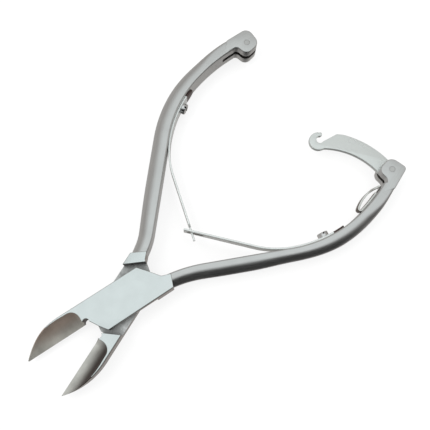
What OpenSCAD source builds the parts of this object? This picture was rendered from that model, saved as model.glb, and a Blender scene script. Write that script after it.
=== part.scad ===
// Cantilever nail nipper: two half-lapped levers on a screw, a pair of interlocked
// leaf springs that push the handles apart, and a swinging hook that locks them shut.
// Frame: origin on the pivot axis in the plane the nipper rests on, +X towards the
// handles, +Z up. The nipper is drawn open, each lever turned half_opening from shut.

/* [Joint] */
// Thickness of the two half-lapped plates together
thickness = 8; // [7:0.1:9]
// Angle that each lever turns between shut and fully open
half_opening = 12.4; // [11:0.1:13]
// Half of the width of the joint plate
plate_half = 6.1; // [6:0.05:6.4]
// Radius of the pivot screw's bearing
pivot_r = 2.5; // [2.2:0.1:2.8]
// Radius of the pivot screw's head
pivot_head_r = 4; // [3.6:0.1:4.4]
// Air between the two plates
plate_air = 0.02; // [0.01:0.01:0.05]
// Air between a plate's corner and the step it closes against
step_air = 0.3; // [0.25:0.05:0.4]

/* [Blades] */
// Length from the pivot to the tip of the blades
blade_reach = 34.9; // [34:0.1:35.5]
// Radius of the curved back behind the tip
back_r = 22.5; // [22:0.1:23]
// Radius of the hollow grind
hollow_r = 9.1; // [8.8:0.1:9.4]
// Distance from the pivot to the start of the hollow grind
hollow_start = 14; // [13.8:0.1:15]
// Height of the cutting edge above the rest plane
edge_z = 2.4; // [2:0.1:3]

/* [Handles] */
// Width of the rear handle, measured in the plane the levers turn in
handle_w = 5.1; // [4.9:0.1:5.3]
// How much slimmer the front handle is
front_slimming = 0.5; // [0.3:0.1:0.6]
// Depth of a handle, measured along the pivot axis
handle_depth = 7.4; // [7:0.1:7.6]
// Length of the straight stretch of the rear handle
straight_len = 33.5; // [33.3:0.1:33.7]
// Radius of the bend that spreads the rear handle
spread_r = 25; // [24.5:0.5:25.5]
// Radius of the bend that brings it back towards the other one
belly_r = 43; // [42.5:0.5:43.5]
// Radius of its last bend, up to the lock
grip_r = 62; // [61:1:63]

/* [Lock] */
// Radius of the pin that the hook turns on, and of the pin it catches
pin_r = 1; // [0.8:0.05:1.1]
// Width of the slot between the two ears
slot_w = 1.7; // [1.6:0.05:2]
// Thickness of the hook
hook_t = 1.5; // [1.2:0.05:1.5]
// Radius of the hook's boss
boss_r = 3.1; // [2.8:0.1:3.2]

/* [Springs] */
// Thickness of the leaf springs
leaf_t = 0.65; // [0.5:0.05:0.75]
// Width of the leaf springs
leaf_w = 4.6; // [4:0.1:5]
// Radius of the bend where a leaf leaves its handle
leaf_r = 30; // [28:1:32]
// Angle of that bend
leaf_bend = 25.9; // [25:0.1:27]
// Radius of the spring screws' heads
screw_head_r = 1.9; // [1.6:0.1:2.1]

/* [Hidden] */
$fn = 96;
mid_z = thickness / 2;
over = 1;
lap = 0.3;
skin = 0.03;
run_air = 0.05;

// Plan of the joint, with the levers shut: the plate's corners and the handle's root.
step_in = [13.5, 0.1];
step_out = [8.9, 5.9];
heel_in = [-11.85, -0.36];
heel_out = [-9.27, -5.85];
root_x = 17.35;

// The two handles, each as its way from the root: side offset, heading, spread radius and
// angle, straight, belly radius and angle, grip radius and angle, and then its width, the
// leaf's bend, the leaf's run, the place of its screw and the plate's two foot corners.
REAR = [1.61, 9.6, spread_r, 14.5, straight_len, belly_r, 30, grip_r, 18, handle_w,
    leaf_bend, 20.4, 17.5, [13.6, 5.95], [16.86, 1.72]];
FRONT = [1.46, 10.47, spread_r + 23, 12.93, straight_len - 3.6, belly_r + 1.4, 29.67,
    grip_r - 4.7, 17.58, handle_w - front_slimming, leaf_bend - 2.4, 22, 15.5, [15.5, 5.9], [17.2, 1.75]];
function side_offset(h) = h[0];
function heading(h) = h[1];
function spread(h) = [h[2], h[3]];
function straight_run(h) = h[4];
function belly(h) = [h[5], h[6]];
function grip(h) = [h[7], h[8]];
function width(h) = h[9];
function bend_of_leaf(h) = h[10];
function run_of_leaf(h) = h[11];
function screw_angle(h) = h[12];
function foot_outer(h) = h[13];
function foot_inner(h) = h[14];

// Hollow grind: its axis runs along the blade, above and beyond the cutting edge.
hollow_y = 3.25;
hollow_z = edge_z + 0.05 + sqrt(pow(hollow_r, 2) - pow(hollow_y, 2));
hollow_corner = 3;
bevel_w = 2.75;
land = 0.05;
notch_r = 1.1;
notch_x = -13.1;

// Screws
pivot_head_h = 1.4;
pivot_thread_r = pivot_r - 0.5;
pivot_depth = 2.9;
screw_head_h = 1.6;
screw_r = 1.2;
screw_depth = 3.4;
screw_slot = 0.6;

// The lock's pins, the levers open
pin_x = 94.2;
pin_y = 34.1;
ear_r = 4;
ear_depth = handle_depth + 0.1;
slot_back = 10.3;
slot_floor = 3.6;
cavity_r = boss_r + 0.5;

// Cross-section of a handle: flat on the inside, half round on the outside. A section
// with an inset lies just inside the next stretch, so that the two join cleanly.
module handle_section(w, inset = 0) {
    half = handle_depth / 2;
    flank = w - half;
    round_r = half - inset;
    polygon(concat([[inset, -round_r]],
        [for (a = [-90 : 15 : 90]) [flank + round_r * cos(a), round_r * sin(a)]],
        [[inset, round_r]]));
}

// Sections swept along a path that runs along +X. +Y of the section's plane is the
// outer side of the handle, and children() stand at the far end of the stretch.
// A bend is given as its radius and its angle.
module bend_out(bend, w) {
    translate([0, bend[0], 0]) rotate([0, 0, -90]) rotate_extrude(angle = bend[1])
        translate([bend[0], 0]) mirror([1, 0]) handle_section(w);
}

module bend_in(bend, w, inset = 0) {
    translate([0, -bend[0], 0]) rotate([0, 0, 90 - bend[1]]) rotate_extrude(angle = bend[1])
        translate([bend[0], 0]) handle_section(w, inset);
}

module straight(len, w, inset = 0) {
    rotate([90, 0, 90]) linear_extrude(len) handle_section(w, inset);
}

module after_bend_out(bend) {
    translate([0, bend[0], 0]) rotate([0, 0, bend[1]]) translate([0, -bend[0], 0]) children();
}

module after_bend_in(bend) {
    translate([0, -bend[0], 0]) rotate([0, 0, -bend[1]]) translate([0, bend[0], 0]) children();
}

module at_root(h) {
    translate([root_x, side_offset(h), mid_z]) rotate([0, 0, heading(h)]) children();
}

// Places its children where the straight stretch of the handle ends, the levers shut.
module at_belly(h) {
    at_root(h) after_bend_out(spread(h)) translate([straight_run(h), 0, 0]) children();
}

// The same, some degrees into the belly, and some degrees into the last bend.
module along_belly(h, angle) {
    at_belly(h) after_bend_in([belly(h)[0], angle]) children();
}

module along_grip(h, angle) {
    along_belly(h, belly(h)[1]) after_bend_in([grip(h)[0], angle]) children();
}

// The straight and the last bend are inset, and run a little into their neighbours. The
// bar starts some way inside the plate, so that no gap is left at its foot.
module handle_bar(h) {
    root_depth = 3.2;
    lap_angle = lap * 180 / (PI * grip(h)[0]);
    at_root(h) {
        translate([-root_depth, 0, 0]) straight(root_depth, width(h));
        bend_out(spread(h), width(h));
    }
    at_belly(h) {
        translate([-straight_run(h) - lap, 0, 0])
            straight(straight_run(h) + 2 * lap, width(h), skin);
        bend_in(belly(h), width(h));
    }
    along_grip(h, -lap_angle) bend_in([grip(h)[0], grip(h)[1] + lap_angle], width(h), skin);
}

// The joint plate and the foot of the handle, in plan.
module plate_plan(h) {
    polygon([[-12.5, 0], [-12, 0.5], [-11.2, 1.9], [-10.4, 3.3], [-8.5, 6], foot_outer(h),
        foot_inner(h), [14.2, 0.7], [13.4, -0.4], [11.4, -3], [8.9, -plate_half],
        [-12.5, -plate_half]]);
}

// The blade in plan: straight edge on y = 0, and a back that curves in to the tip.
module blade_plan() {
    back_x = -blade_reach + sqrt(pow(back_r, 2) - pow(back_r - plate_half, 2));
    translate([back_x, -plate_half]) square([-12.4 - back_x, plate_half]);
    intersection() {
        translate([back_x, back_r - plate_half]) circle(r = back_r, $fn = 180);
        translate([-blade_reach, -plate_half]) square([blade_reach + back_x, plate_half]);
    }
}

// Room for the other lever's plate: the half of the thickness above mid_z, between the
// step at the handle and the step at the blade.
module lap_window() {
    step_dir = (step_in - step_out) / norm(step_in - step_out);
    step_off = step_air * [-step_dir[1], step_dir[0]];
    heel_dir = (heel_in - heel_out) / norm(heel_in - heel_out);
    heel_off = step_air * [-heel_dir[1], heel_dir[0]];
    reach = 6;
    translate([0, 0, mid_z - plate_air / 2]) linear_extrude(thickness)
        polygon([step_out - reach * step_dir + step_off, step_in + reach * step_dir + step_off,
            heel_out - reach * heel_dir + heel_off, heel_in + reach * heel_dir + heel_off]);
}

// What grinding takes off a blade: a scooped hollow above the edge, a bevel below it.
module blade_grind() {
    long = blade_reach + over;
    translate([0, hollow_y, hollow_z]) rotate([0, -90, 0]) rotate([0, 0, 90])
        rotate_extrude($fn = 180) {
            translate([0, hollow_start]) square([hollow_r - hollow_corner, long - hollow_start]);
            translate([0, hollow_start + hollow_corner])
                square([hollow_r, long - hollow_start - hollow_corner]);
            translate([hollow_r - hollow_corner, hollow_start + hollow_corner])
                circle(r = hollow_corner);
        }
    translate([-long, 0, 0]) rotate([90, 0, 90]) linear_extrude(long - hollow_start + over)
        polygon([[over, -over], [over, edge_z - land], [0, edge_z - land], [-bevel_w, 0],
            [-bevel_w, -over]]);
}

// Outline of an ear of the lock, about its pin, the levers open.
module ear_plan() {
    end_r = 1.6;
    translate([0.1, 0.6]) circle(r = ear_r);
    translate([2.6, 2.6]) circle(r = end_r);
    polygon([[-6, 1.9], [-3.2, -1.6], [0, -3], [3, 2], [2.8, 4.07], [-4.2, 6]]);
}

// Cuts in the end of a handle: the pin's bore, the slot between the ears and the cavity
// that the hook's boss turns in.
module lock_cuts() {
    mouth = 6;
    mouth_slant = 10;
    translate([0, 0, -over]) cylinder(r = pin_r, h = thickness + 2 * over);
    translate([0, 0, mid_z - slot_w / 2]) {
        cylinder(r = cavity_r, h = slot_w);
        translate([-slot_back, -mouth, 0]) cube([slot_back, mouth + slot_floor, slot_w]);
        rotate([0, 0, mouth_slant]) translate([-over, -mouth, 0])
            cube([cavity_r + ear_r, mouth, slot_w]);
    }
}

// Places its children at a spring screw: +Z points out of the handle's inner face.
module at_spring_screw(h) {
    along_belly(h, screw_angle(h)) rotate([90, 0, 0]) children();
}

// One lever, shut: plate in the lower half, handle on +Y, blade on -Y.
module lever_blank(h, ground_from_above) {
    difference() {
        union() {
            linear_extrude(thickness) plate_plan(h);
            linear_extrude(thickness) blade_plan();
            handle_bar(h);
            rotate([0, 0, -half_opening]) translate([pin_x, pin_y, mid_z - ear_depth / 2])
                linear_extrude(ear_depth) ear_plan();
        }
        lap_window();
        translate([notch_x, 0, -over]) cylinder(r = notch_r, h = thickness + 2 * over);
        if (ground_from_above)
            blade_grind();
        else
            translate([0, 0, thickness]) mirror([0, 0, 1]) blade_grind();
        rotate([0, 0, -half_opening]) translate([pin_x, pin_y, 0]) lock_cuts();
        at_spring_screw(h) translate([0, 0, -screw_depth])
            cylinder(r = screw_r, h = screw_depth + over);
    }
}

// The front lever's blank is turned over about the X axis.
module as_front() {
    translate([0, 0, mid_z]) rotate([180, 0, 0]) translate([0, 0, -mid_z]) children();
}

module open_rear() {
    rotate([0, 0, half_opening]) children();
}

module rear_lever() {
    color("#b9bdbb") open_rear() difference() {
        lever_blank(REAR, true);
        translate([0, 0, -over]) cylinder(r = pivot_r + run_air, h = thickness);
        translate([0, 0, -over]) cylinder(r = pivot_head_r + run_air, h = over + pivot_head_h);
    }
}

module front_lever() {
    color("#c6cac8") as_front() open_rear() difference() {
        lever_blank(FRONT, false);
        translate([0, 0, mid_z - pivot_depth]) cylinder(r = pivot_thread_r, h = pivot_depth);
    }
}

// The pivot screw goes in from behind, its head flush, and is screwed into the front plate.
module pivot_screw() {
    head_top = pivot_head_h - plate_air;
    driver_w = 1;
    driver_depth = 0.8;
    color("#d5d8d6") difference() {
        union() {
            cylinder(r = pivot_head_r, h = head_top);
            cylinder(r = pivot_r, h = mid_z + plate_air / 2);
            cylinder(r = pivot_thread_r, h = mid_z + pivot_depth);
        }
        translate([-pivot_head_r - over, -driver_w / 2, -over])
            cube([2 * (pivot_head_r + over), driver_w, over + driver_depth]);
    }
}

// A strip of spring steel bent through an angle, on the inner side of a path. With an
// inset it lies just inside the next stretch.
module strip_in(r, a, t, w, inset = 0) {
    translate([0, -r, inset - w / 2]) rotate([0, 0, 90 - a]) rotate_extrude(angle = a)
        translate([r - t + inset, 0]) square([t - 2 * inset, w - 2 * inset]);
}

// A leaf spring: it follows the handle from its screwed tail, then bends away and
// runs straight past the other leaf's tip. The bend is inset, and laps its neighbours.
module leaf(h, tip_past) {
    tail = 9.8;
    hole_r = screw_r + 0.1;
    lap_angle = lap * 180 / (PI * leaf_r);
    difference() {
        at_belly(h) {
            strip_in(belly(h)[0], screw_angle(h) + tail, leaf_t, leaf_w);
            mirror([1, 0, 0]) {
                after_bend_in([leaf_r, -lap_angle])
                    strip_in(leaf_r, bend_of_leaf(h) + 2 * lap_angle, leaf_t, leaf_w, skin);
                after_bend_in([leaf_r, bend_of_leaf(h)]) translate([0, -leaf_t, -leaf_w / 2])
                    cube([run_of_leaf(h) + tip_past, leaf_t, leaf_w]);
            }
        }
        at_spring_screw(h) translate([0, 0, -over]) cylinder(r = hole_r, h = 3 * over);
    }
}

// Places its children on the last stretch of a leaf, some way back from the crossing.
module at_leaf_tip(h, back) {
    at_belly(h) mirror([1, 0, 0]) after_bend_in([leaf_r, bend_of_leaf(h)])
        translate([run_of_leaf(h) - back, -2 * leaf_t, 0]) children();
}

// The front leaf's tip is slotted, and the rear leaf's tongue runs through the slot.
module front_leaf_spring() {
    past = 2.4;
    slot_len = 5;
    tip_slot = 1.7;
    color("#c4c7c4") as_front() open_rear() difference() {
        leaf(FRONT, past);
        at_leaf_tip(FRONT, slot_len / 2) translate([0, 0, -tip_slot / 2])
            cube([slot_len, 3 * leaf_t, tip_slot]);
    }
}

module rear_leaf_spring() {
    past = 3.1;
    tongue = 1.4;
    shoulder = 1.6;
    color("#dfe1df") open_rear() difference() {
        leaf(REAR, past);
        for (side = [0, 1])
            mirror([0, 0, side]) translate([0, 0, side * -thickness])
                at_leaf_tip(REAR, shoulder) translate([0, 0, tongue / 2])
                    cube([2 * past + shoulder, 3 * leaf_t, leaf_w]);
    }
}

module spring_screw(h) {
    head_z = leaf_t + 0.06;
    slot_deep = 0.7;
    at_spring_screw(h) difference() {
        union() {
            translate([0, 0, -screw_depth]) cylinder(r = screw_r, h = screw_depth + leaf_t + 0.1);
            translate([0, 0, head_z]) cylinder(r = screw_head_r, h = screw_head_h);
        }
        translate([-screw_slot / 2, -screw_head_r - over, head_z + screw_head_h - slot_deep])
            cube([screw_slot, 2 * (screw_head_r + over), screw_head_h]);
    }
}

module front_spring_screw() {
    color("#d8dad8") as_front() open_rear() spring_screw(FRONT);
}

module rear_spring_screw() {
    color("#e2e4e2") open_rear() spring_screw(REAR);
}

// The hook, about its pivot pin, pointing at the other handle.
module hook_plan() {
    inner = [-27.1, 5];
    outer = [-28.3, 5];
    inner_r = 24.4;
    outer_r = 31.5;
    notch = [-8, 25.1];
    notch_air = 0.28;
    lip = [-6.45, 26.4];
    lip_r = 0.72;
    end = [-8.8, 25.1];
    end_r = 3.3;
    difference() {
        union() {
            circle(r = boss_r);
            intersection() {
                translate(outer) circle(r = outer_r, $fn = 180);
                polygon([[-3.1, 0], [3.1, 0], [8, 12], [-2.4, 22.47], [-8.4, 23.7],
                    [-11.6, 25.2], [-16, 18]]);
            }
            translate(end) circle(r = end_r);
        }
        translate(inner) circle(r = inner_r, $fn = 180);
        translate(notch) circle(r = pin_r + notch_air);
        polygon([notch, [-8.3, 23.7], [3, 21.35], [3, 32], [-5.9, 27]]);
    }
    translate(lip) circle(r = lip_r);
}

module lock_hook() {
    color("#c9cdca") translate([pin_x, -pin_y, mid_z - hook_t / 2]) difference() {
        linear_extrude(hook_t) hook_plan();
        translate([0, 0, -over]) cylinder(r = pin_r + run_air, h = hook_t + 2 * over);
    }
}

module lock_pin() {
    translate([pin_x, pin_y, mid_z - ear_depth / 2]) cylinder(r = pin_r, h = ear_depth);
}

module hook_pivot_pin() {
    color("#aab0ad") as_front() lock_pin();
}

module catch_pin() {
    color("#aab0ad") lock_pin();
}

// A strip hairpin: one leg along the handle, a tight turn, and a bowed leg that narrows
// to run into the slot between the ears.
module hook_spring() {
    t = 0.5;
    wide = 2.9;
    narrow = 1.5;
    foot_at = 5.4;
    foot_angle = 8;
    tight = [1, 156];
    bow = [13.84, 36];
    bow_end = [bow[0], 14.1];
    turn_lap = 5;
    bow_lap = 1;
    color("#cfd2cf") as_front() open_rear() along_grip(FRONT, foot_at) {
        strip_in(grip(FRONT)[0], foot_angle, t, wide);
        mirror([1, 0, 0]) {
            after_bend_in([tight[0], -turn_lap])
                strip_in(tight[0], tight[1] + 2 * turn_lap, t, wide, skin);
            after_bend_in(tight) {
                strip_in(bow[0], bow[1], t, wide);
                after_bend_in([bow[0], bow[1] - bow_lap])
                    strip_in(bow_end[0], bow_end[1], t, narrow, skin);
            }
        }
    }
}

front_lever();
rear_lever();
pivot_screw();
front_leaf_spring();
rear_leaf_spring();
front_spring_screw();
rear_spring_screw();
lock_hook();
hook_pivot_pin();
catch_pin();
hook_spring();
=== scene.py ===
import math

import bmesh
import bpy
import numpy as np
from mathutils import Matrix, Vector


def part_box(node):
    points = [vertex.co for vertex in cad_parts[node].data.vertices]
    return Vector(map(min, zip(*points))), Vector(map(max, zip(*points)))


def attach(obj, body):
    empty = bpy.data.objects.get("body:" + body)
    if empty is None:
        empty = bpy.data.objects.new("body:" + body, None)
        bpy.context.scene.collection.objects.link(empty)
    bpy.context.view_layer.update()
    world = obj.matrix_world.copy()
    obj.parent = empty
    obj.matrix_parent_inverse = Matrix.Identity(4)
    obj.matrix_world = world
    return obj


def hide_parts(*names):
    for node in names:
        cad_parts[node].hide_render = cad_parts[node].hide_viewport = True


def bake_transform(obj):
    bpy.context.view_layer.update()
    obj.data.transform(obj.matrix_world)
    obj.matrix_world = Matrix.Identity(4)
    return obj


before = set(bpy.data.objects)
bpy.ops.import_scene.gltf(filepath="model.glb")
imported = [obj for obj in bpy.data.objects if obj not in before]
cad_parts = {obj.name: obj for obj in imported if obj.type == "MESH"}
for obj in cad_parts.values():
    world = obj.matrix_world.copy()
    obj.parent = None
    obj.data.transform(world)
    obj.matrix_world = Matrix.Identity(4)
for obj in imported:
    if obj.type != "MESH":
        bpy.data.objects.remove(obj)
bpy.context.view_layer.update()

# Lengths are in millimetres until a mesh is made. The lever is drawn as a blank with the
# levers shut: plate in the lower half, handle towards +Y, blade towards -Y.
MM = 0.001


def box_mm(node):
    """Lowest and highest corner of a CAD node."""
    low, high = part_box(node)
    return np.array(low) / MM, np.array(high) / MM


THICK = float(box_mm("front_lever")[1][2])
MID = THICK / 2
PIN_LOW, PIN_HIGH = box_mm("catch_pin")
PIN = (PIN_LOW[:2] + PIN_HIGH[:2]) / 2
PIN_R = (PIN_HIGH[0] - PIN_LOW[0]) / 2
EAR_HALF = (PIN_HIGH[2] - PIN_LOW[2]) / 2 - 0.02
HOOK_LOW, HOOK_HIGH = box_mm("lock_hook")
HOOK_T = HOOK_HIGH[2] - HOOK_LOW[2]
HEAD_R = float(box_mm("pivot_screw")[1][0])
SCREW_TOP = float(box_mm("pivot_screw")[1][2])
LEAF_W = float(box_mm("rear_leaf_spring")[1][2] - box_mm("rear_leaf_spring")[0][2])
# Each lever's turn away from shut, at rest
HALF_OPEN = 12.4

# Plan of the joint. The steps that the other plate closes against, and the handles' feet,
# are given by their outer and inner corners.
PLATE_HALF = 6.1
PLATE_EDGE = 0.16
STEP = ((8.9, 5.9), (13.5, 0.1))
HEEL = ((-9.27, -5.85), (-11.85, -0.36))
FRONT_FOOT = ((15.5, 5.9), (17.2, 1.75))
REAR_FOOT = ((13.6, 5.95), (16.86, 1.72))
STEP_AIR = 0.3
PLATE_AIR = 0.02
NOTCH_X = -13.1
NOTCH_R = 1.1

# Pivot screw
SHANK_R = 2.5
THREAD_R = 2.0
HEAD_H = 1.4
TURNING_AIR = 0.05

# Blade
TIP_X = 34.9
BACK_R = 22.5
HOLLOW_R = 9.1
HOLLOW_START = 14.0
HOLLOW_CORNER = 3.0
EDGE_Z = 2.4
BEVEL_W = 2.75

# Handles: where each starts and how it heads, then (kind, radius or length, turn in degrees)
ROOT_X = 17.35
WAYS = {
    "rear": ((ROOT_X, 1.61), 9.6,
             (("out", 25.0, 14.5), ("straight", 33.5, 0.0), ("in", 43.0, 30.0), ("in", 62.0, 18.0))),
    "front": ((ROOT_X, 1.46), 10.47,
              (("out", 48.0, 12.93), ("straight", 29.9, 0.0), ("in", 44.4, 29.67), ("in", 57.3, 17.58))),
}
HANDLE_HALF = 3.68

# Springs and their screws, each screw some degrees into the handle's belly
LEAF_T = 0.65
LEAF_R = 30.0
LEAF_BEND = {"rear": 25.9, "front": 23.5}
LEAF_RUN = {"rear": 20.4, "front": 22.0}
LEAF_PAST = {"rear": 3.0, "front": 2.4}
SCREW_ANGLE = {"rear": 17.5, "front": 15.5}
TAIL_ANGLE = 9.8
SCREW_R = 1.9
SCREW_HOLE_R = 1.2
SCREW_DEPTH = 3.4


# ---------------------------------------------------------------- outlines

def arc(centre, radius, start, end, count):
    """Points on an arc, from start to end in degrees."""
    angles = np.radians(np.linspace(start, end, count))
    return [(centre[0] + radius * math.cos(a), centre[1] + radius * math.sin(a)) for a in angles]


def rounded(corners, count=7):
    """A closed outline from (x, y, radius) corners, each rounded with an arc."""
    points = []
    for i, (x, y, radius) in enumerate(corners):
        here = np.array((x, y))
        back = np.array(corners[i - 1][:2]) - here
        on = np.array(corners[(i + 1) % len(corners)][:2]) - here
        if radius <= 0:
            points.append((x, y))
            continue
        back_dir, on_dir = back / np.linalg.norm(back), on / np.linalg.norm(on)
        half = math.acos(np.clip(back_dir @ on_dir, -1, 1)) / 2
        reach = min(radius / math.tan(half), 0.49 * np.linalg.norm(back), 0.49 * np.linalg.norm(on))
        radius = reach * math.tan(half)
        bisector = (back_dir + on_dir) / np.linalg.norm(back_dir + on_dir)
        centre = here + bisector * radius / math.sin(half)
        start = here + back_dir * reach - centre
        end = here + on_dir * reach - centre
        first = math.atan2(start[1], start[0])
        turn = (math.atan2(end[1], end[0]) - first + math.pi) % (2 * math.pi) - math.pi
        for k in range(count):
            a = first + turn * k / (count - 1)
            points.append((centre[0] + radius * math.cos(a), centre[1] + radius * math.sin(a)))
    return points


def inset(outline, distance):
    """The outline moved inwards; it runs anticlockwise."""
    points = np.array(outline, float)
    ahead = np.roll(points, -1, axis=0) - points
    ahead /= np.linalg.norm(ahead, axis=1)[:, None]
    normal = np.stack([-ahead[:, 1], ahead[:, 0]], 1)
    before = np.roll(normal, 1, axis=0)
    share = 1 + (normal * before).sum(1)
    return points + distance * (normal + before) / np.maximum(share, 0.3)[:, None]


def anticlockwise(outline):
    """The outline without repeated points, running anticlockwise."""
    p = np.array(outline, float)
    p = p[np.linalg.norm(p - np.roll(p, 1, axis=0), axis=1) > 0.004]
    q = np.roll(p, -1, axis=0)
    area = (p[:, 0] * q[:, 1] - q[:, 0] * p[:, 1]).sum()
    return p if area > 0 else p[::-1]


# ---------------------------------------------------------------- solids

def solid(name, verts, faces, material):
    """A mesh object from millimetres, with its faces turned outwards."""
    mesh = bpy.data.meshes.new(name)
    mesh.from_pydata([tuple(float(c) * MM for c in v) for v in verts], [], faces)
    shape = bmesh.new()
    shape.from_mesh(mesh)
    bmesh.ops.remove_doubles(shape, verts=shape.verts, dist=1e-7)
    bmesh.ops.recalc_face_normals(shape, faces=shape.faces)
    shape.to_mesh(mesh)
    shape.free()
    piece = bpy.data.objects.new(name, mesh)
    bpy.context.scene.collection.objects.link(piece)
    mesh.materials.append(material)
    return piece


def sweep(name, rings, material):
    """A closed solid through a list of rings with the same number of points."""
    count = len(rings[0])
    verts = [p for ring in rings for p in ring]
    faces = [tuple(range(count))[::-1]]
    for r in range(len(rings) - 1):
        low = r * count
        for i in range(count):
            j = (i + 1) % count
            faces.append((low + i, low + j, low + count + j, low + count + i))
    faces.append(tuple(range((len(rings) - 1) * count, len(rings) * count)))
    return solid(name, verts, faces, material)


def slab(name, outline, z0, z1, edge, material, steps=3):
    """An extruded outline whose top and bottom edges are rounded by edge."""
    outline = anticlockwise(outline)
    rings = []
    quarter = [math.pi / 2 * k / steps for k in range(steps + 1)] if edge > 0 else [math.pi / 2]
    for a in quarter:
        ring = inset(outline, edge * (1 - math.sin(a)))
        rings.append([(x, y, z0 + edge * (1 - math.cos(a))) for x, y in ring])
    for a in quarter[::-1]:
        ring = inset(outline, edge * (1 - math.sin(a)))
        rings.append([(x, y, z1 - edge * (1 - math.cos(a))) for x, y in ring])
    return sweep(name, rings, material)


def lathe(name, profile, material, steps=64):
    """A solid of revolution about Z from (radius, height) points; the ends close on the axis."""
    rings = []
    for radius, height in profile:
        radius = max(radius, 0.001)
        rings.append([(radius * math.cos(2 * math.pi * k / steps),
                       radius * math.sin(2 * math.pi * k / steps), height) for k in range(steps)])
    return sweep(name, rings, material)


def block(name, low, high, material):
    """A box between two corners."""
    (x0, y0, z0), (x1, y1, z1) = low, high
    return slab(name, [(x0, y0), (x1, y0), (x1, y1), (x0, y1)], z0, z1, 0, material)


def moved(piece, matrix):
    """The piece with its mesh transformed."""
    piece.data.transform(matrix)
    return piece


def shift(x, y, z):
    return Matrix.Translation((x * MM, y * MM, z * MM))


def turn(degrees, axis="Z"):
    return Matrix.Rotation(math.radians(degrees), 4, axis)


def combine(piece, tool, operation="DIFFERENCE"):
    """An exact boolean, applied; the new faces keep the tool's material."""
    change = piece.modifiers.new("combine", "BOOLEAN")
    change.operation = operation
    change.solver = "EXACT"
    change.material_mode = "TRANSFER"
    change.object = tool
    graph = bpy.context.evaluated_depsgraph_get()
    result = bpy.data.meshes.new_from_object(piece.evaluated_get(graph))
    piece.modifiers.clear()
    old = piece.data
    piece.data = result
    bpy.data.meshes.remove(old)
    bpy.data.objects.remove(tool)
    return piece


def finish_mesh(piece, angle=32):
    """Welds slivers and smooths the shading, with creases kept sharp."""
    shape = bmesh.new()
    shape.from_mesh(piece.data)
    bmesh.ops.remove_doubles(shape, verts=shape.verts, dist=2e-6)
    bmesh.ops.dissolve_degenerate(shape, edges=shape.edges, dist=1e-6)
    shape.to_mesh(piece.data)
    shape.free()
    piece.data.shade_smooth()
    piece.data.set_sharp_from_angle(angle=math.radians(angle))
    return piece


# ---------------------------------------------------------------- the handle's path

def walk(point, heading, stretches, step=0.8):
    """Stations along a path: rows of x, y, heading in degrees and distance."""
    rows, total = [(point[0], point[1], heading, 0.0)], 0.0
    for kind, size, angle in stretches:
        length = size if kind == "straight" else size * math.radians(angle)
        count = max(2, int(math.ceil(length / step)))
        sign = {"out": 1, "in": -1, "straight": 0}[kind]
        x0, y0, h0 = rows[-1][:3]
        for k in range(1, count + 1):
            run = length * k / count
            if sign == 0:
                x = x0 + run * math.cos(math.radians(h0))
                y = y0 + run * math.sin(math.radians(h0))
                rows.append((x, y, h0, total + run))
                continue
            swept = sign * math.degrees(run / size)
            cx = x0 - sign * size * math.sin(math.radians(h0))
            cy = y0 + sign * size * math.cos(math.radians(h0))
            h = h0 + swept
            x = cx + sign * size * math.sin(math.radians(h))
            y = cy - sign * size * math.cos(math.radians(h))
            rows.append((x, y, h, total + run))
        total += length
    return np.array(rows)


# Each handle's stations, and the station where its belly starts.
HANDLE = {side: walk(*way) for side, way in WAYS.items()}
BELLY = {side: walk(point, heading, stretches[:2])[-1]
         for side, (point, heading, stretches) in WAYS.items()}


def smooth(x, low, high):
    """Rises from 0 to 1 between low and high."""
    t = min(max((x - low) / (high - low), 0), 1)
    return t * t * (3 - 2 * t)


def handle_width(side, s):
    """Slim at the root, full in the middle, slim again at the lock; the front handle is
    ground slimmer, most of all in its belly."""
    length = HANDLE[side][-1, 3]
    if side == "rear":
        return 4.95 + 0.55 * smooth(s, 0, 22) - 1.1 * smooth(s, length - 28, length + 4)
    waist = smooth(s, 26, 42) * smooth(-s, -58, -42)
    slim = 0.4 * smooth(s, length - 20, length) + 0.35 * smooth(s, length - 8, length)
    return 4.45 + 0.35 * smooth(s, 0, 20) - 0.6 * waist - slim


def handle_ring(side, row):
    """The handle's section: flat inside with rounded edges, half round outside; it turns
    squarer towards the ears."""
    x, y, heading, s = row
    width, half, edge = handle_width(side, s), HANDLE_HALF, 0.55
    length = HANDLE[side][-1, 3]
    square = 0.85 * smooth(s, length - 15, length - 1)
    flank = 1.55 + (width - 1.55) * 0.55 * square
    power = 2 + 2 * square
    points = [(0, v) for v in np.linspace(edge - half, half - edge, 7)]
    points += [(edge - edge * math.cos(a), half - edge + edge * math.sin(a))
               for a in np.radians(np.linspace(15, 90, 6))]
    points += [(u, half) for u in np.linspace(edge, flank, 4)[1:-1]]
    for a in np.radians(np.linspace(90, -90, 33)):
        c, d = abs(math.cos(a)) ** (2 / power), abs(math.sin(a)) ** (2 / power)
        points.append((flank + (width - flank) * c, half * math.copysign(d, math.sin(a))))
    points += [(u, -half) for u in np.linspace(edge, flank, 4)[-2:0:-1]]
    points += [(edge - edge * math.cos(a), edge - half - edge * math.sin(a))
               for a in np.radians(np.linspace(90, 15, 6))]
    h = math.radians(heading)
    return [(x - u * math.sin(h), y + u * math.cos(h), MID + v) for u, v in points]


def place_on_belly(side, turned):
    """Matrix to the handle's inner face, some degrees into the belly: +X along, +Y out."""
    start, radius = BELLY[side], WAYS[side][2][2][1]
    row = walk(start[:2], start[2], (("in", radius, turned),))[-1]
    return shift(row[0], row[1], MID) @ turn(row[2])


def place_screw(side):
    """Matrix to a leaf's screw: +Z out of the handle's inner face."""
    return place_on_belly(side, SCREW_ANGLE[side]) @ turn(90, "X")


# ---------------------------------------------------------------- materials

def node_tree(owner):
    """The emptied nodes of a material or the world, and their links."""
    owner.use_nodes = True
    nodes, links = owner.node_tree.nodes, owner.node_tree.links
    nodes.clear()
    return nodes, links


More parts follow.
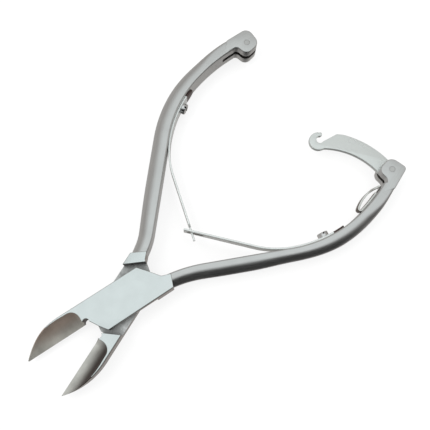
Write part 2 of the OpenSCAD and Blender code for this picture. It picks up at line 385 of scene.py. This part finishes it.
def fade(nodes, links, source, axis, span, first, second):
    """From one colour to another as one component of a vector crosses a span."""
    split = nodes.new("ShaderNodeSeparateXYZ")
    links.new(source, split.inputs[0])
    across = nodes.new("ShaderNodeMapRange")
    across.interpolation_type = "SMOOTHSTEP"
    across.inputs["From Min"].default_value = span[0]
    across.inputs["From Max"].default_value = span[1]
    links.new(split.outputs[axis], across.inputs["Value"])
    mix = nodes.new("ShaderNodeMix")
    mix.data_type = "RGBA"
    mix.inputs[6].default_value = first + (1,)
    mix.inputs[7].default_value = second + (1,)
    links.new(across.outputs[0], mix.inputs[0])
    return mix.outputs[2]


def steel(name, tint, rough, streak, wave, bump, edge=0.12, clouds=0.04, metal=1.0, back_shade_tint=None,
          wall_shade_tint=None, shade_reach=0.0):
    """Bare steel with grinding streaks. streak holds the frequency per millimetre along
    the attribute "grain", and wave is how far the streaks change colour and roughness.
    back_shade_tint is a darker colour away from the cutting edge, painted shade on the hollow's
    steep back wall; wall_shade_tint is the colour of upright faces, darker as painted shade; and
    contact is how many millimetres from other steel an ambient-occlusion darkening reaches,
    painted shade in the corners."""
    material = bpy.data.materials.new(name)
    nodes, links = node_tree(material)
    out = nodes.new("ShaderNodeOutputMaterial")
    shader = nodes.new("ShaderNodeBsdfPrincipled")
    shader.inputs["Metallic"].default_value = metal
    grain = nodes.new("ShaderNodeAttribute")
    grain.attribute_name = "grain"
    stretch = nodes.new("ShaderNodeMapping")
    stretch.inputs["Scale"].default_value = streak
    links.new(grain.outputs["Vector"], stretch.inputs["Vector"])
    lines = nodes.new("ShaderNodeTexNoise")
    lines.inputs["Scale"].default_value = 1.0
    lines.inputs["Detail"].default_value = 5.0
    lines.inputs["Roughness"].default_value = 0.65
    links.new(stretch.outputs["Vector"], lines.inputs["Vector"])
    patches = nodes.new("ShaderNodeTexNoise")
    patches.inputs["Scale"].default_value = 0.22
    patches.inputs["Detail"].default_value = 3.0
    links.new(grain.outputs["Vector"], patches.inputs["Vector"])

    def spread(source, low, high):
        node = nodes.new("ShaderNodeMapRange")
        node.inputs["From Min"].default_value = 0.3
        node.inputs["From Max"].default_value = 0.7
        node.inputs["To Min"].default_value = low
        node.inputs["To Max"].default_value = high
        links.new(source.outputs["Fac"], node.inputs["Value"])
        return node

    tone = spread(lines, 1 - wave, 1 + wave * 0.5)
    cloud = spread(patches, 1 - clouds, 1 + clouds * 0.5)
    both = nodes.new("ShaderNodeMath")
    both.operation = "MULTIPLY"
    links.new(tone.outputs[0], both.inputs[0])
    links.new(cloud.outputs[0], both.inputs[1])
    colour = nodes.new("ShaderNodeVectorMath")
    colour.operation = "SCALE"
    colour.inputs[0].default_value = tint
    # Painted shade: darker towards the hollow's steep back wall, away from the cutting edge.
    if back_shade_tint:
        far = fade(nodes, links, grain.outputs["Vector"], "Y", (-4.6, -0.4), back_shade_tint, tint)
        links.new(far, colour.inputs[0])
    # Painted shade: upright faces take a darker colour, chosen by their normal.
    if wall_shade_tint:
        facing = nodes.new("ShaderNodeNewGeometry")
        steep = nodes.new("ShaderNodeVectorMath")
        steep.operation = "ABSOLUTE"
        links.new(facing.outputs["Normal"], steep.inputs[0])
        wall = fade(nodes, links, steep.outputs[0], "Z", (0.35, 0.85), wall_shade_tint, tint)
        links.new(wall, colour.inputs[0])
    links.new(both.outputs[0], colour.inputs["Scale"])
    # Painted shade: ambient occlusion darkens the colour near other steel.
    if shade_reach:
        shade = nodes.new("ShaderNodeAmbientOcclusion")
        shade.inputs["Distance"].default_value = shade_reach * MM
        links.new(colour.outputs[0], shade.inputs["Color"])
        links.new(shade.outputs["Color"], shader.inputs["Base Color"])
    else:
        links.new(colour.outputs[0], shader.inputs["Base Color"])
    links.new(spread(lines, rough * 0.8, rough * 1.25).outputs[0], shader.inputs["Roughness"])
    bevel = nodes.new("ShaderNodeBevel")
    bevel.samples = 6
    bevel.inputs["Radius"].default_value = edge * MM
    relief = nodes.new("ShaderNodeBump")
    relief.inputs["Strength"].default_value = bump
    relief.inputs["Distance"].default_value = 0.02 * MM
    links.new(lines.outputs["Fac"], relief.inputs["Height"])
    links.new(bevel.outputs[0], relief.inputs["Normal"])
    links.new(relief.outputs[0], shader.inputs["Normal"])
    links.new(shader.outputs[0], out.inputs["Surface"])
    return material


SATIN = steel("satin_steel", (0.73, 0.745, 0.74), 0.34, (0.12, 5.0, 5.0), 0.07, 0.4)
# Its upright faces are darkened with painted shade.
POLISHED = steel("polished_steel", (0.82, 0.88, 0.88), 0.16, (0.25, 7.0, 7.0), 0.025, 0.12, edge=0.2,
                 wall_shade_tint=(0.36, 0.325, 0.30))
# Both hollows darken away from the cutting edge with painted shade; the rear one goes nearly black.
HOLLOW = steel("front_hollow_painted_shade", (0.44, 0.43, 0.39), 0.40, (6.0, 0.3, 0.3), 0.08, 0.15, clouds=0.2,
               metal=0.45, back_shade_tint=(0.31, 0.25, 0.21))
SHADED_HOLLOW = steel("rear_hollow_painted_shade", (0.52, 0.53, 0.50), 0.40, (6.0, 0.3, 0.3), 0.08, 0.15, clouds=0.2,
                      metal=0.45, back_shade_tint=(0.035, 0.025, 0.02))
# The step's upright faces are near black and its corners near other steel darker, both painted shade.
STEP_STEEL = steel("step_steel", (0.74, 0.75, 0.74), 0.32, (1.2, 1.2, 0.2), 0.35, 0.5, clouds=0.25,
                   wall_shade_tint=(0.05, 0.045, 0.04), shade_reach=3.0)
# Bores, slots, holes and notches are coloured near black: painted shade in recesses.
RECESS_SHADE = steel("recess_shade_steel", (0.16, 0.145, 0.135), 0.40, (3.0, 3.0, 0.2), 0.08, 0.3)
HOOK_STEEL = steel("hook_steel", (0.70, 0.735, 0.72), 0.32, (0.2, 1.0, 1.0), 0.008, 0.0, clouds=0.0,
                   metal=0.8)
SPRING = steel("spring_steel", (0.80, 0.83, 0.82), 0.24, (0.2, 6.0, 6.0), 0.03, 0.12, edge=0.06,
               metal=0.75)
SCREW = steel("screw_steel", (0.82, 0.83, 0.83), 0.10, (3.0, 3.0, 3.0), 0.03, 0.1, edge=0.08)
# A dark colour for the leaves' tails behind their screws.
DARK_TAIL_STEEL = steel("dark_tail_steel", (0.075, 0.05, 0.045), 0.30, (1.0, 4.0, 4.0), 0.2, 0.2, edge=0.06, metal=0.6)
# The hook spring's upright faces are darkened with painted shade.
LOOP_STEEL = steel("loop_steel", (0.80, 0.80, 0.77), 0.25, (0.2, 6.0, 6.0), 0.03, 0.12, edge=0.04,
                   wall_shade_tint=(0.20, 0.17, 0.15))
PIN_STEEL = steel("pin_steel", (0.64, 0.645, 0.635), 0.30, (4.0, 4.0, 4.0), 0.05, 0.2, edge=0.05)


# ---------------------------------------------------------------- the lever

def plate_outline(foot):
    """Plate in plan, up to the line where the handle's foot starts."""
    return rounded([(-12.5, 0, 0), (-12, 0.5, 0.2), (-11.2, 1.9, 1), (-10.4, 3.3, 1.5),
                    (-8.5, 6, 0.5), foot[0] + (0.3,), foot[1] + (0.4,), (14.2, 0.7, 1.5),
                    (13.4, -0.4, 1.5), (11.4, -3, 2), (8.9, -PLATE_HALF, 0.5)], 6)


def back_x():
    """Where the blade's back starts to curve in."""
    return -TIP_X + math.sqrt(BACK_R ** 2 - (BACK_R - PLATE_HALF) ** 2)


def back_y(x):
    """Distance of the blade's back from the cutting edge."""
    if x > back_x():
        return PLATE_HALF
    return math.sqrt(max(BACK_R ** 2 - (x - back_x()) ** 2, 0)) - (BACK_R - PLATE_HALF)


def lever_plan(foot):
    """The plate and the blade as one outline."""
    plate = plate_outline(foot)
    last = math.degrees(math.acos((back_x() + TIP_X) / BACK_R))
    curve = arc((back_x(), BACK_R - PLATE_HALF), BACK_R, -90, -180 + last, 40)
    return plate + curve


def lap_window():
    """Room for the other lever's plate, above MID, and well past it on both sides."""
    corners, reach = [], 6
    for outer, inner in (STEP, HEEL):
        along = np.array(inner) - np.array(outer)
        along /= np.linalg.norm(along)
        off = STEP_AIR * np.array((-along[1], along[0]))
        corners += [np.array(outer) - reach * along + off, np.array(inner) + reach * along + off]
    return slab("window", corners, MID - PLATE_AIR / 2, THICK + 2, 0, STEP_STEEL)


def hollow_section(x):
    """The grinding wheel's section at x: all that it takes off above the blade's hollow. The
    rim that it leaves along the back narrows, and the back gets lower towards the tip."""
    rim = 0.62 - 0.34 * smooth(-x, 17, 25.5)
    rim_y = max(back_y(x) - rim, 0.25)
    rim_z = THICK + 0.03 - (THICK - EDGE_Z - 0.9) * smooth(-x, 23.5, 36.5)
    low, high = np.array((0, EDGE_Z + 0.05)), np.array((rim_y, rim_z))
    corner = min(max(x + HOLLOW_START + HOLLOW_CORNER, 0), HOLLOW_CORNER)
    lost = HOLLOW_CORNER - math.sqrt(max(HOLLOW_CORNER ** 2 - corner ** 2, 0))
    chord = high - low
    mid = (low + high) / 2
    rise = math.sqrt(max(HOLLOW_R ** 2 - (chord @ chord) / 4, 0))
    across = np.array((-chord[1], chord[0])) / np.linalg.norm(chord)
    centre = mid + across * rise
    first = math.atan2(*(low - centre)[::-1])
    last = math.atan2(*(high - centre)[::-1])
    points = [(-1.5, EDGE_Z + 0.05 + lost)]
    for a in np.linspace(first, last, 28):
        r = HOLLOW_R - lost
        points.append((max(centre[0] + r * math.cos(a), -1.2), centre[1] + r * math.sin(a)))
    top = THICK + 3
    rim_out = rim_z if rim_z < THICK else top - 1
    points += [(max(points[-1][0], rim_y - lost) + 0.001, max(rim_out, points[-1][1]) + 0.001)]
    points += [(PLATE_HALF + 2, max(rim_out, points[-1][1])), (PLATE_HALF + 2, top), (-1.5, top)]
    return [(x, -y, z) for y, z in points]


def hollow_tool(material):
    """The grinding wheel's cut, from its round start to past the tip."""
    near = -HOLLOW_START - HOLLOW_CORNER * (1 - np.cos(np.radians(np.linspace(0, 90, 14))))
    far = np.linspace(near[-1], -TIP_X - 1.5, 40)[1:]
    return sweep("wheel", [hollow_section(x) for x in list(near) + list(far)], material)


def bevel_tool():
    """The flat bevel ground on the other side of the cutting edge."""
    section = [(1.5, -1.0), (1.5, EDGE_Z - 0.05), (0, EDGE_Z - 0.05), (-BEVEL_W, 0),
               (-BEVEL_W - 0.6, -1.0)]
    rings = [[(x, y, z) for y, z in section] for x in (-TIP_X - 2, -HOLLOW_START + 1)]
    return sweep("bevel", rings, POLISHED)


def ear_outline(side):
    """The ear in plan, about its pin, levers open, inner side towards -Y."""
    corner = (4.5, 3.9, 2.6) if side == "rear" else (4.1, 3.3, 1.3)
    shoulder = 5.7 if side == "rear" else 5.1
    return rounded([(-7.5, 2.3, 0), (-3.75, 1.35, 1.5), (-3.5, -3.35, 3.2), (3.2, -3.35, 3.0),
                    corner, (-4.7, shoulder, 1.5), (-8.5, 3.2, 0)], 9)


def through_hole(radius):
    """Profile of a drill that goes right through a lever."""
    return [(0, -1), (radius, -1), (radius, THICK + 1), (0, THICK + 1)]


def cut_lock(piece, pin_matrix):
    """The pin's bore, the slot between the ears and the cavity for the hook's boss."""
    slot_half = 0.85
    tool = lathe("bore", through_hole(PIN_R + 0.005), PIN_STEEL, 48)
    combine(piece, moved(tool, pin_matrix))
    outline = rounded([(-10.3, -6, 0), (5.8, -6, 0), (6.4, 1.0, 0), (3.6, 0.6, 0),
                       (3.4, 3.5, 3.0), (-6.5, 3.6, 1.5), (-10.3, 2.2, 0.8)], 8)
    tool = slab("slot", outline, MID - slot_half, MID + slot_half, 0, RECESS_SHADE)
    return combine(piece, moved(tool, pin_matrix))


def add_grain(piece, side, blank):
    """Where the metal was brushed: along the handle's path, or along the plate."""
    inverse = np.array(blank.inverted())
    co = np.array([v.co for v in piece.data.vertices])
    local = (co @ inverse[:3, :3].T + inverse[:3, 3]) / MM
    delta = local[:, None, :2] - HANDLE[side][None, :, :2]
    nearest = (delta ** 2).sum(2).argmin(1)
    rows = HANDLE[side][nearest]
    h = np.radians(rows[:, 2])
    d = local[:, :2] - rows[:, :2]
    along = rows[:, 3] + d[:, 0] * np.cos(h) + d[:, 1] * np.sin(h) + 20
    across = -d[:, 0] * np.sin(h) + d[:, 1] * np.cos(h) + 20
    on_handle = local[:, 0] > ROOT_X + 0.2
    grain = np.where(on_handle[:, None], np.stack([along, across, local[:, 2]], 1), local)
    layer = piece.data.attributes.new("grain", "FLOAT_VECTOR", "POINT")
    layer.data.foreach_set("vector", grain.astype(np.float32).ravel())
    return piece


def plain_grain(piece, matrix=None):
    """Grain along the piece's own X, or along matrix's X."""
    inverse = np.array((matrix or Matrix.Identity(4)).inverted())
    co = np.array([v.co for v in piece.data.vertices])
    local = (co @ inverse[:3, :3].T + inverse[:3, 3]) / MM
    layer = piece.data.attributes.new("grain", "FLOAT_VECTOR", "POINT")
    layer.data.foreach_set("vector", local.astype(np.float32).ravel())
    return piece


def make_bar(side):
    """The handle, from inside the plate to the ears, with the holes that are cut in it."""
    root_depth, ear_edge = 3.0, 0.35
    path = HANDLE[side]
    start = path[0].copy()
    back = math.radians(start[2])
    start[:2] -= root_depth * np.array((math.cos(back), math.sin(back)))
    bar = sweep("bar", [handle_ring(side, row) for row in np.vstack([start, path])], SATIN)
    pin_matrix = turn(-HALF_OPEN) @ shift(PIN[0], PIN[1], 0)
    ear = slab("ear", ear_outline(side), MID - EAR_HALF, MID + EAR_HALF, ear_edge, SATIN, 4)
    combine(bar, moved(ear, pin_matrix), "UNION")
    cut_lock(bar, pin_matrix)
    profile = [(0, -SCREW_DEPTH), (SCREW_HOLE_R, -SCREW_DEPTH), (SCREW_HOLE_R, 1), (0, 1)]
    hole = lathe("hole", profile, RECESS_SHADE, 40)
    return combine(bar, moved(hole, place_screw(side)))


def lever(name, side, pivot_cuts):
    """One forged lever in the blank's place."""
    ground_from_above = side == "rear"
    foot = REAR_FOOT if ground_from_above else FRONT_FOOT
    piece = slab(name, lever_plan(foot), 0, THICK, PLATE_EDGE, POLISHED)
    combine(piece, lap_window())
    notch = lathe("notch", through_hole(NOTCH_R), RECESS_SHADE, 40)
    combine(piece, moved(notch, shift(NOTCH_X, 0, 0)))
    flip = Matrix.Identity(4)
    if not ground_from_above:
        flip = shift(0, 0, THICK) @ Matrix.Scale(-1, 4, (0, 0, 1))
    for tool in (hollow_tool(SHADED_HOLLOW if ground_from_above else HOLLOW), bevel_tool()):
        moved(tool, flip)
        if not ground_from_above:
            tool.data.flip_normals()
        combine(piece, tool)
    for profile in pivot_cuts:
        combine(piece, lathe("pivot", profile, RECESS_SHADE, 72))
    return combine(piece, make_bar(side), "UNION")


# From the blank's place to each lever's; the front lever is the blank turned over.
OPEN_REAR = turn(HALF_OPEN)
OPEN_FRONT = shift(0, 0, MID) @ turn(180, "X") @ shift(0, 0, -MID) @ OPEN_REAR


def finish_lever(piece, side, matrix):
    """Puts a lever from the blank's place into its own, and ties it to its CAD node."""
    moved(piece, matrix)
    finish_mesh(piece)
    add_grain(piece, side, matrix)
    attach(piece, side + "_lever")
    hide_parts(side + "_lever")


def make_levers():
    """The screw's head and shank turn in the rear lever, and its thread is in the front one."""
    shank_bore, head_bore = SHANK_R + TURNING_AIR, HEAD_R + TURNING_AIR
    rear_cuts = ([(0, -1), (shank_bore, -1), (shank_bore, MID + 1), (0, MID + 1)],
                 [(0, -1), (head_bore, -1), (head_bore, HEAD_H), (0, HEAD_H)])
    finish_lever(lever("rear_lever_forging", "rear", rear_cuts), "rear", OPEN_REAR)
    end = THICK - SCREW_TOP
    front_cuts = ([(0, end), (THREAD_R, end), (THREAD_R, MID + 1), (0, MID + 1)],)
    finish_lever(lever("front_lever_forging", "front", front_cuts), "front", OPEN_FRONT)


# ---------------------------------------------------------------- pivot screw, pins, hook

def ride_as(piece, body, node, grain=None):
    """Finishes a small piece and ties it to its body and to the CAD node it stands for."""
    finish_mesh(piece)
    plain_grain(piece, grain)
    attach(piece, body)
    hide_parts(node)


def make_pivot_screw():
    """Its head is sunk in the rear plate's underside, and its thread is plain rings."""
    pitch, groove = 0.4, 0.22
    head_top = HEAD_H - 0.04
    profile = [(0, 0.02), (HEAD_R - 0.25, 0.02), (HEAD_R - 0.05, 0.12), (HEAD_R, 0.3),
               (HEAD_R, head_top), (SHANK_R, head_top), (SHANK_R, MID)]
    height, thread = MID, THREAD_R - 0.05
    while height < SCREW_TOP - 0.45:
        profile += [(thread - groove, height + 0.02), (thread, height + pitch / 2),
                    (thread - groove, height + pitch - 0.02)]
        height += pitch
    profile += [(thread - 0.3, SCREW_TOP - 0.03), (0, SCREW_TOP - 0.03)]
    piece = lathe("pivot_screw_steel", profile, SCREW, 72)
    slot = block("slot", (-HEAD_R - 1, -0.5, -1), (HEAD_R + 1, 0.5, 0.85), RECESS_SHADE)
    combine(piece, moved(slot, turn(24)))
    ride_as(piece, "front_lever", "pivot_screw")


def make_pins():
    """The two pins of the lock, flush with the ears."""
    half = EAR_HALF + 0.01
    profile = [(0, MID - half), (PIN_R - 0.08, MID - half), (PIN_R - 0.01, MID - half + 0.05),
               (PIN_R - 0.01, MID + half - 0.05), (PIN_R - 0.08, MID + half), (0, MID + half)]
    pin = moved(lathe("catch_pin_steel", profile, PIN_STEEL, 48), shift(PIN[0], PIN[1], 0))
    ride_as(pin, "rear_lever", "catch_pin")
    pin = moved(lathe("hook_pin_steel", profile, PIN_STEEL, 48), shift(PIN[0], -PIN[1], 0))
    ride_as(pin, "front_lever", "hook_pivot_pin")


def hook_outline():
    """The hook about its pin, pointing at the other handle: two arcs, and a notched end."""
    inner_centre, inner_r = (-27.1, 5.0), 24.4
    outer_centre, outer_r = (-28.3, 5.0), 31.5
    end, end_r = (-8.8, 25.1), 3.3
    notch, notch_r = (-8.0, 25.1), PIN_R + 0.28
    lip, lip_r = (-6.45, 26.4), 0.72
    boss = 3.1
    outer = arc(outer_centre, outer_r, -3, 32, 30)
    inner = arc(inner_centre, inner_r, 43.5, -4.5, 34)
    shoulder = rounded([outer[-2] + (0,), (-2.35, 22.3, 1.1), (-7.2, 23.6, 0)], 9)
    shoulder = [p for p in shoulder if p[0] > -7.1][1:]
    throat = arc(notch, notch_r, -80, -323, 26)
    tip = arc(lip, lip_r, -140, 85, 12)
    round_end = arc(end, end_r, 42, 238, 32)
    foot = arc((0, 0), boss, 176, 352, 24)
    return outer[:-2] + shoulder + throat + tip + round_end + inner + foot


def make_hook():
    """A flat blank with softened edges, on its pin."""
    half, edge = HOOK_T / 2 - 0.005, 0.16
    pin_matrix = shift(PIN[0], -PIN[1], 0)
    piece = slab("lock_hook_plate", hook_outline(), MID - half, MID + half, edge, HOOK_STEEL)
    combine(piece, lathe("bore", through_hole(PIN_R + TURNING_AIR), RECESS_SHADE, 40))
    moved(piece, pin_matrix)
    ride_as(piece, "lock_hook", "lock_hook", pin_matrix @ turn(80))


# ---------------------------------------------------------------- springs and their screws

def strip_ring(row, thick, width, rounding=0.14):
    """A flat strip's section with rounded edges, on the inner side of the path."""
    x, y, heading, _ = row
    h = math.radians(heading)
    outline = rounded([(0.0, -width / 2, rounding), (0.0, width / 2, rounding),
                       (-thick, width / 2, rounding), (-thick, -width / 2, rounding)], 4)
    return [(x - u * math.sin(h), y + u * math.cos(h), MID + v) for u, v in outline]


def curl(x, y, heading, radius, angle, count):
    """Stations of a bend away from the handle, walked backwards; the heading is kept along
    the handle's."""
    a = math.radians(heading)
    centre = (x + radius * math.sin(a), y - radius * math.cos(a))
    rows = []
    for swept in np.linspace(0, angle, count)[1:]:
        a = math.radians(heading + swept)
        rows.append((centre[0] - radius * math.sin(a), centre[1] + radius * math.cos(a),
                     heading + swept, 0))
    return rows


def leaf_path(side):
    """From the tail on the handle to past the other leaf, and how many stations lie on the
    handle."""
    start, radius = BELLY[side], WAYS[side][2][2][1]
    tail = walk(start[:2], start[2], (("in", radius, SCREW_ANGLE[side] + TAIL_ANGLE),), 0.9)[::-1]
    away = curl(*start[:3], LEAF_R, LEAF_BEND[side], 20)
    x1, y1, h1, _ = away[-1]
    a1 = math.radians(h1)
    for run in np.linspace(0, LEAF_RUN[side] + LEAF_PAST[side], 26)[1:]:
        away.append((x1 - run * math.cos(a1), y1 - run * math.sin(a1), h1, run))
    return np.vstack([tail, away]), len(tail)


def make_leaf(name, side, matrix):
    """The rear leaf ends in a tongue, the front one in a slot that the tongue runs through."""
    tongue, shoulder, taper, slot_half = 1.35, 2.2, 0.3, 0.8
    tail_ends = (0.55, 0.82, 0.95)
    rows, seat = leaf_path(side)
    rings = []
    for i, row in enumerate(rows):
        width = LEAF_W
        run = row[3] if i >= seat else 0
        if i < len(tail_ends):
            width = LEAF_W * tail_ends[i]
        width -= taper * smooth(run, 0, LEAF_RUN[side])
        if side == "rear" and run > LEAF_RUN[side] - shoulder:
            width = tongue
        rings.append(strip_ring(row, LEAF_T, width - 0.02))
    piece = sweep(name, rings, SPRING)
    hole_r = SCREW_HOLE_R + 0.1
    hole = lathe("hole", [(0, -1), (hole_r, -1), (hole_r, 2), (0, 2)], RECESS_SHADE, 40)
    combine(piece, moved(hole, place_screw(side)))
    if side == "front":
        tip, near = rows[-1], rows[-9]
        middle = (tip[:2] + near[:2]) / 2
        length = np.linalg.norm(tip[:2] - near[:2]) * 0.74
        outline = [(x * length / 2, y * slot_half, slot_half - 0.1)
                   for x, y in ((-1, -1), (1, -1), (1, 1), (-1, 1))]
        slot = slab("slot", rounded(outline, 6), -3, 3, 0, RECESS_SHADE)
        lift = shift(middle[0], middle[1], MID) @ turn(tip[2]) @ turn(90, "X")
        combine(piece, moved(slot, lift))
    darken_tail(piece, side)
    moved(piece, matrix)
    finish_mesh(piece)
    plain_grain(piece, matrix @ turn(BELLY[side][2]))
    return piece


def darken_tail(piece, side):
    """The end of the tail, behind the screw, is coloured dark."""
    undarkened_share = 0.47
    piece.data.materials.append(DARK_TAIL_STEEL)
    inverse = place_on_belly(side, SCREW_ANGLE[side] + undarkened_share * TAIL_ANGLE).inverted()
    last = len(piece.data.materials) - 1
    for face in piece.data.polygons:
        if (inverse @ face.center).x > 0:
            face.material_index = last


def make_leaves():
    """Each leaf is drawn on its own handle in the levers' rest pose, and its placing is baked into its
    mesh."""
    for side, matrix in (("rear", OPEN_REAR), ("front", OPEN_FRONT)):
        piece = make_leaf(side + "_leaf_steel", side, matrix)
        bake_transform(piece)
        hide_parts(side + "_leaf_spring")


def make_leaf_screw(side, matrix):
    """A slotted cheese head on a plain shank with a chamfered end."""
    head, shank, end = 1.6 + LEAF_T, SCREW_HOLE_R - 0.02, -SCREW_DEPTH + 0.02
    profile = [(0, end), (0.9, end), (shank, end + 0.28), (shank, LEAF_T), (SCREW_R - 0.12, LEAF_T),
               (SCREW_R, LEAF_T + 0.12), (SCREW_R, head - 0.3), (SCREW_R - 0.12, head - 0.1),
               (SCREW_R - 0.4, head), (0, head)]
    piece = lathe(side + "_leaf_screw_steel", profile, SCREW, 56)
    slot = block("slot", (-0.3, -3, head - 0.7), (0.3, 3, head + 1), RECESS_SHADE)
    combine(piece, slot)
    moved(piece, matrix @ place_screw(side))
    ride_as(piece, side + "_lever", side + "_spring_screw")


def make_hook_spring():
    """A strip hairpin: one leg on the handle, a tight turn, and a bowed leg into the slot."""
    thick, wide, narrow = 0.68, 2.9, 1.46
    foot_at, foot_angle = 5.4, 8.0
    tight, bow = (1.0, 156.0), (13.84, 49.1)
    start, (belly, grip) = BELLY["front"], WAYS["front"][2][2:]
    at = walk(start[:2], start[2], (belly, ("in", grip[1], foot_at)))[-1]
    leg = walk(at[:2], at[2], (("in", grip[1], foot_angle),), 0.7)[::-1]
    rows = [tuple(row) for row in leg]
    for radius, angle in (tight, bow):
        rows += curl(*rows[-1][:3], radius, angle, 26)
    last = len(rows) - 1
    rings = []
    for i, row in enumerate(rows):
        width = wide - (wide - narrow) * smooth(i / last, 0.82, 0.93)
        rings.append(strip_ring(row, thick, width, 0.1))
    piece = sweep("hook_spring_strip", rings, LOOP_STEEL)
    moved(piece, OPEN_FRONT)
    ride_as(piece, "front_lever", "hook_spring")


# ---------------------------------------------------------------- stage

DARK_SIDE = (-0.59, -0.80, 0.0)


def darkening(nodes, links, source, sign):
    """How much of the studio's light comes from a direction: hardly any on the side that the
    front handle's back faces."""
    side = nodes.new("ShaderNodeVectorMath")
    side.operation = "DOT_PRODUCT"
    side.inputs[1].default_value = tuple(sign * c for c in DARK_SIDE)
    links.new(source, side.inputs[0])
    facing = nodes.new("ShaderNodeMapRange")
    facing.inputs["From Min"].default_value = 0.12
    facing.inputs["From Max"].default_value = 0.72
    facing.inputs["To Min"].default_value = 1.0
    facing.inputs["To Max"].default_value = 0.02
    facing.interpolation_type = "SMOOTHSTEP"
    links.new(side.outputs["Value"], facing.inputs["Value"])
    return facing.outputs[0]


def make_floor():
    """A plain white table with a faint shadow; in the steel it shows as a grey one."""
    size, height = 3.0, -2e-5
    mesh = bpy.data.meshes.new("floor")
    corners = [(x * size, y * size, height) for x, y in ((-1, -1), (1, -1), (1, 1), (-1, 1))]
    mesh.from_pydata(corners, [], [(0, 1, 2, 3)])
    floor = bpy.data.objects.new("floor", mesh)
    bpy.context.scene.collection.objects.link(floor)
    material = bpy.data.materials.new("pale_floor")
    nodes, links = node_tree(material)
    out = nodes.new("ShaderNodeOutputMaterial")
    lit = nodes.new("ShaderNodeBsdfDiffuse")
    lit.inputs["Color"].default_value = (0.9, 0.9, 0.9, 1)
    glow = nodes.new("ShaderNodeEmission")
    glow.inputs["Color"].default_value = (1, 1, 1, 1)
    pale = nodes.new("ShaderNodeMixShader")
    pale.inputs[0].default_value = 0.8
    links.new(lit.outputs[0], pale.inputs[1])
    links.new(glow.outputs[0], pale.inputs[2])
    grey = nodes.new("ShaderNodeEmission")
    grey.inputs["Color"].default_value = (0.43, 0.41, 0.395, 1)
    ray = nodes.new("ShaderNodeNewGeometry")
    links.new(darkening(nodes, links, ray.outputs["Incoming"], -1), grey.inputs["Strength"])
    path = nodes.new("ShaderNodeLightPath")
    pick = nodes.new("ShaderNodeMixShader")
    links.new(path.outputs["Is Glossy Ray"], pick.inputs[0])
    links.new(pale.outputs[0], pick.inputs[1])
    links.new(grey.outputs[0], pick.inputs[2])
    links.new(pick.outputs[0], out.inputs["Surface"])
    mesh.materials.append(material)


def make_world():
    """A pale studio: bright overhead, and dim towards the horizon for reflections, darkest
    on the side of the front handle."""
    world = bpy.data.worlds.new("studio")
    bpy.context.scene.world = world
    nodes, links = node_tree(world)
    out = nodes.new("ShaderNodeOutputWorld")
    coord = nodes.new("ShaderNodeTexCoord")
    split = nodes.new("ShaderNodeSeparateXYZ")
    links.new(coord.outputs["Generated"], split.inputs[0])
    height = nodes.new("ShaderNodeValToRGB")
    stops = ((0.0, (0.36, 0.335, 0.32)), (0.35, (0.37, 0.35, 0.335)), (0.70, (0.50, 0.495, 0.485)),
             (0.93, (0.80, 0.83, 0.83)))
    ramp = height.color_ramp
    while len(ramp.elements) < len(stops):
        ramp.elements.new(0.5)
    for element, (place, colour) in zip(ramp.elements, stops):
        element.position = place
        element.color = colour + (1,)
    links.new(split.outputs["Z"], height.inputs[0])
    shade = nodes.new("ShaderNodeVectorMath")
    shade.operation = "SCALE"
    links.new(height.outputs[0], shade.inputs[0])
    links.new(darkening(nodes, links, coord.outputs["Generated"], 1), shade.inputs["Scale"])
    mirrored = nodes.new("ShaderNodeBackground")
    links.new(shade.outputs[0], mirrored.inputs["Color"])
    plain = nodes.new("ShaderNodeBackground")
    plain.inputs["Color"].default_value = (1, 1, 1, 1)
    path = nodes.new("ShaderNodeLightPath")
    pick = nodes.new("ShaderNodeMixShader")
    links.new(path.outputs["Is Glossy Ray"], pick.inputs[0])
    links.new(plain.outputs[0], pick.inputs[1])
    links.new(mirrored.outputs[0], pick.inputs[2])
    links.new(pick.outputs[0], out.inputs["Surface"])


def make_light(name, place, size, power, colour):
    """A soft round lamp aimed at the pivot; it doesn't show in the steel."""
    data = bpy.data.lights.new(name, "AREA")
    data.shape = "DISK"
    data.size = size
    data.energy = power
    data.color = colour
    light = bpy.data.objects.new(name, data)
    light.location = place
    light.rotation_euler = (-Vector(place)).to_track_quat("-Z", "Y").to_euler()
    light.visible_glossy = False
    bpy.context.scene.collection.objects.link(light)


def make_camera():
    """Looks down on the nipper from its front, a hand's breadth or two above it."""
    place = Vector((5.7, -27.2, 179.4)) * MM
    ahead = Vector((0.195, 0.142, -0.9705)).normalized()
    up = Vector((0.6931, 0.6802, 0.2388))
    right = ahead.cross(up).normalized()
    up = right.cross(ahead)
    data = bpy.data.cameras.new("camera")
    data.lens = 44.885
    data.sensor_width = 36
    data.clip_start = 0.005
    camera = bpy.data.objects.new("camera", data)
    camera.matrix_world = Matrix.Translation(place) @ Matrix((right, up, -ahead)).transposed().to_4x4()
    bpy.context.scene.collection.objects.link(camera)
    bpy.context.scene.camera = camera


make_levers()
make_pivot_screw()
make_pins()
make_hook()
make_leaves()
make_leaf_screw("rear", OPEN_REAR)
make_leaf_screw("front", OPEN_FRONT)
make_hook_spring()
make_floor()
make_world()
make_light("key", (-0.25, 0.35, 0.6), 0.45, 2.5, (1.0, 0.99, 0.97))
make_light("fill", (0.45, 0.2, 0.5), 0.5, 1.5, (0.96, 0.98, 1.0))
make_camera()
bpy.context.scene.view_settings.view_transform = "Standard"
